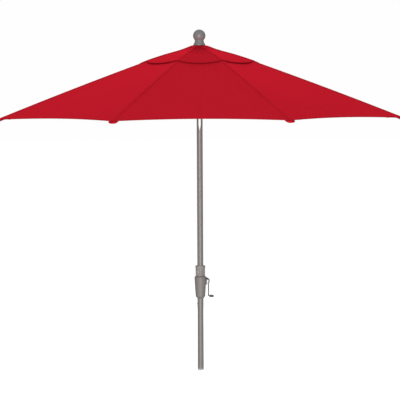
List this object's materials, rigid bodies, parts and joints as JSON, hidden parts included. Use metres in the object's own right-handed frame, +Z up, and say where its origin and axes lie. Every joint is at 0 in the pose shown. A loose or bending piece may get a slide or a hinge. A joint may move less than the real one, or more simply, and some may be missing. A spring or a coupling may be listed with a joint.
{
  "type": "patio umbrella",
  "caption": "Octagonal market umbrella with a vented cloth canopy on folding steel ribs, a round pole with crank lift, collar tilt, ball finial and a snap-button pole joint.",
  "frame": {"origin": "centre of the pole's foot, on the underside of the foot cap", "axes": "+Z up along the pole to the finial; +X towards the crank; the canopy leans towards -Y when it is tilted; flats of the octagonal canopy face along X and Y"},
  "size_m": [2.5344, 2.5344, 2.202],
  "materials": {
    "pole_paint": "taupe powder coat on steel tube, satin with a fine grain",
    "rib_paint": "taupe powder coat on thin steel section, satin",
    "housing_plastic": "moulded taupe nylon with a fine texture",
    "finial_plastic": "grey moulded plastic, low sheen",
    "foot_plastic": "grey moulded plastic cap, scuffed underneath",
    "dark_plastic": "black glass-filled nylon",
    "dark_steel": "black painted steel",
    "bright_steel": "zinc-plated steel, fine brushing",
    "knob_plastic": "grey moulded grip",
    "pulley_nylon": "natural nylon",
    "lift_cord": "braided polyester cord",
    "canopy_cloth": "woven solution-dyed acrylic canvas, bright red, matte, with stitched seams and a turned hem"
  },
  "bodies": {
    "pole": {"lower_pole": "pole_paint", "foot_cap": "foot_plastic", "pole_joiner": "pole_paint", "upper_pole": "pole_paint", "crank_housing_front": "housing_plastic", "crank_housing_rear": "housing_plastic", "housing_screws": "dark_steel", "crank_bush": "dark_plastic", "tilt_fork": "pole_paint", "tilt_pin": "bright_steel", "lift_cord_lower": "lift_cord", "snap_spring": "bright_steel"},
    "snap_button": {"snap_button": "bright_steel"},
    "crank": {"crank_shaft": "dark_steel", "crank_arm": "bright_steel", "cord_spool": "dark_plastic"},
    "crank_knob": {"crank_knob": "knob_plastic"},
    "tilt_collar": {"tilt_collar": "housing_plastic"},
    "mast": {"tilt_tongue": "dark_plastic", "mast_tube": "pole_paint", "top_hub": "housing_plastic", "hub_wire": "bright_steel", "finial": "finial_plastic", "crown_washer": "dark_plastic", "pulley_pin": "bright_steel", "lift_cord_upper": "lift_cord"},
    "pulley": {"cord_pulley": "pulley_nylon"},
    "runner": {"runner": "housing_plastic"},
    "rib_1": {"rib_1": "rib_paint", "rib_fittings_1": "bright_steel", "canopy_sector_1": "canopy_cloth"},
    "rib_2": {"rib_2": "rib_paint", "rib_fittings_2": "bright_steel", "canopy_sector_2": "canopy_cloth"},
    "rib_3": {"rib_3": "rib_paint", "rib_fittings_3": "bright_steel", "canopy_sector_3": "canopy_cloth"},
    "rib_4": {"rib_4": "rib_paint", "rib_fittings_4": "bright_steel", "canopy_sector_4": "canopy_cloth"},
    "rib_5": {"rib_5": "rib_paint", "rib_fittings_5": "bright_steel", "canopy_sector_5": "canopy_cloth"},
    "rib_6": {"rib_6": "rib_paint", "rib_fittings_6": "bright_steel", "canopy_sector_6": "canopy_cloth"},
    "rib_7": {"rib_7": "rib_paint", "rib_fittings_7": "bright_steel", "canopy_sector_7": "canopy_cloth"},
    "rib_8": {"rib_8": "rib_paint", "rib_fittings_8": "bright_steel", "canopy_sector_8": "canopy_cloth"},
    "strut_1": {"strut_1": "rib_paint"},
    "strut_2": {"strut_2": "rib_paint"},
    "strut_3": {"strut_3": "rib_paint"},
    "strut_4": {"strut_4": "rib_paint"},
    "strut_5": {"strut_5": "rib_paint"},
    "strut_6": {"strut_6": "rib_paint"},
    "strut_7": {"strut_7": "rib_paint"},
    "strut_8": {"strut_8": "rib_paint"}
  },
  "joints": [
    {"name": "canopy_fold", "type": "hinge", "parent": "mast", "child": "rib_1", "pos_m": [0.02956, 0.01225, 2.085], "axis": [-0.3827, 0.9239, 0], "range_deg": [0, 64], "deforming": ["canopy_sector_1"]},
    {"name": "rib_2_fold", "type": "hinge", "parent": "mast", "child": "rib_2", "pos_m": [0.01225, 0.02956, 2.085], "axis": [-0.9239, 0.3827, 0], "range_deg": [0, 64], "deforming": ["canopy_sector_2"]},
    {"name": "rib_3_fold", "type": "hinge", "parent": "mast", "child": "rib_3", "pos_m": [-0.01225, 0.02956, 2.085], "axis": [-0.9239, -0.3827, 0], "range_deg": [0, 64], "deforming": ["canopy_sector_3"]},
    {"name": "rib_4_fold", "type": "hinge", "parent": "mast", "child": "rib_4", "pos_m": [-0.02956, 0.01225, 2.085], "axis": [-0.3827, -0.9239, 0], "range_deg": [0, 64], "deforming": ["canopy_sector_4"]},
    {"name": "rib_5_fold", "type": "hinge", "parent": "mast", "child": "rib_5", "pos_m": [-0.02956, -0.01225, 2.085], "axis": [0.3827, -0.9239, 0], "range_deg": [0, 64], "deforming": ["canopy_sector_5"]},
    {"name": "rib_6_fold", "type": "hinge", "parent": "mast", "child": "rib_6", "pos_m": [-0.01225, -0.02956, 2.085], "axis": [0.9239, -0.3827, 0], "range_deg": [0, 64], "deforming": ["canopy_sector_6"]},
    {"name": "rib_7_fold", "type": "hinge", "parent": "mast", "child": "rib_7", "pos_m": [0.01225, -0.02956, 2.085], "axis": [0.9239, 0.3827, 0], "range_deg": [0, 64], "deforming": ["canopy_sector_7"]},
    {"name": "rib_8_fold", "type": "hinge", "parent": "mast", "child": "rib_8", "pos_m": [0.02956, -0.01225, 2.085], "axis": [0.3827, 0.9239, 0], "range_deg": [0, 64], "deforming": ["canopy_sector_8"]},
    {"name": "strut_1_swing", "type": "hinge", "parent": "rib_1", "child": "strut_1", "pos_m": [0.55433, 0.22961, 1.8895], "axis": [-0.3827, 0.9239, 0], "range_deg": [-128.01, 0]},
    {"name": "strut_2_swing", "type": "hinge", "parent": "rib_2", "child": "strut_2", "pos_m": [0.22961, 0.55433, 1.8895], "axis": [-0.9239, 0.3827, 0], "range_deg": [-128.01, 0]},
    {"name": "strut_3_swing", "type": "hinge", "parent": "rib_3", "child": "strut_3", "pos_m": [-0.22961, 0.55433, 1.8895], "axis": [-0.9239, -0.3827, 0], "range_deg": [-128.01, 0]},
    {"name": "strut_4_swing", "type": "hinge", "parent": "rib_4", "child": "strut_4", "pos_m": [-0.55433, 0.22961, 1.8895], "axis": [-0.3827, -0.9239, 0], "range_deg": [-128.01, 0]},
    {"name": "strut_5_swing", "type": "hinge", "parent": "rib_5", "child": "strut_5", "pos_m": [-0.55433, -0.22961, 1.8895], "axis": [0.3827, -0.9239, 0], "range_deg": [-128.01, 0]},
    {"name": "strut_6_swing", "type": "hinge", "parent": "rib_6", "child": "strut_6", "pos_m": [-0.22961, -0.55433, 1.8895], "axis": [0.9239, -0.3827, 0], "range_deg": [-128.01, 0]},
    {"name": "strut_7_swing", "type": "hinge", "parent": "rib_7", "child": "strut_7", "pos_m": [0.22961, -0.55433, 1.8895], "axis": [0.9239, 0.3827, 0], "range_deg": [-128.01, 0]},
    {"name": "strut_8_swing", "type": "hinge", "parent": "rib_8", "child": "strut_8", "pos_m": [0.55433, -0.22961, 1.8895], "axis": [0.3827, 0.9239, 0], "range_deg": [-128.01, 0]},
    {"name": "runner_slide", "type": "slide", "parent": "mast", "child": "runner", "axis": [0, 0, -1], "range_m": [0, 0.8016], "deforming": ["lift_cord_upper"]},
    {"name": "crank_turn", "type": "hinge", "parent": "pole", "child": "crank", "pos_m": [0.0575, 0, 0.5857], "axis": [0.8988, 0, -0.4384], "range_deg": [0, 4320.5]},
    {"name": "knob_spin", "type": "hinge", "parent": "crank", "child": "crank_knob", "pos_m": [0.073, 0, 0.479], "axis": [1, 0, 0], "continuous": true},
    {"name": "pulley_turn", "type": "hinge", "parent": "mast", "child": "pulley", "pos_m": [0.01375, 0.00999, 2.022], "axis": [-0.5878, 0.809, 0], "range_deg": [0, 9184.7]},
    {"name": "canopy_tilt", "type": "hinge", "parent": "pole", "child": "mast", "pos_m": [0, 0, 1.648], "axis": [1, 0, 0], "range_deg": [0, 35]},
    {"name": "collar_turn", "type": "hinge", "parent": "pole", "child": "tilt_collar", "pos_m": [0, 0, 0.644], "axis": [0, 0, 1], "range_deg": [0, 180.1]},
    {"name": "snap_button_press", "type": "slide", "parent": "pole", "child": "snap_button", "axis": [1, 0, 0], "range_m": [0, 0.005], "stiffness_N_per_m": 1500, "springref_m": -0.003, "deforming": ["snap_spring"]}
  ],
  "couplings": [
    {"joint": "rib_2_fold", "follows": "canopy_fold", "ratio": 1},
    {"joint": "rib_3_fold", "follows": "canopy_fold", "ratio": 1},
    {"joint": "rib_4_fold", "follows": "canopy_fold", "ratio": 1},
    {"joint": "rib_5_fold", "follows": "canopy_fold", "ratio": 1},
    {"joint": "rib_6_fold", "follows": "canopy_fold", "ratio": 1},
    {"joint": "rib_7_fold", "follows": "canopy_fold", "ratio": 1},
    {"joint": "rib_8_fold", "follows": "canopy_fold", "ratio": 1},
    {"joint": "strut_1_swing", "follows": "canopy_fold", "ratio": -2},
    {"joint": "strut_2_swing", "follows": "canopy_fold", "ratio": -2},
    {"joint": "strut_3_swing", "follows": "canopy_fold", "ratio": -2},
    {"joint": "strut_4_swing", "follows": "canopy_fold", "ratio": -2},
    {"joint": "strut_5_swing", "follows": "canopy_fold", "ratio": -2},
    {"joint": "strut_6_swing", "follows": "canopy_fold", "ratio": -2},
    {"joint": "strut_7_swing", "follows": "canopy_fold", "ratio": -2},
    {"joint": "strut_8_swing", "follows": "canopy_fold", "ratio": -2},
    {"joint": "runner_slide", "follows": "canopy_fold", "m_per_rad": 0.71748},
    {"joint": "crank_turn", "follows": "canopy_fold", "ratio": 67.5},
    {"joint": "pulley_turn", "follows": "canopy_fold", "ratio": 143.5},
    {"joint": "collar_turn", "follows": "canopy_tilt", "ratio": 5.1429}
  ]
}
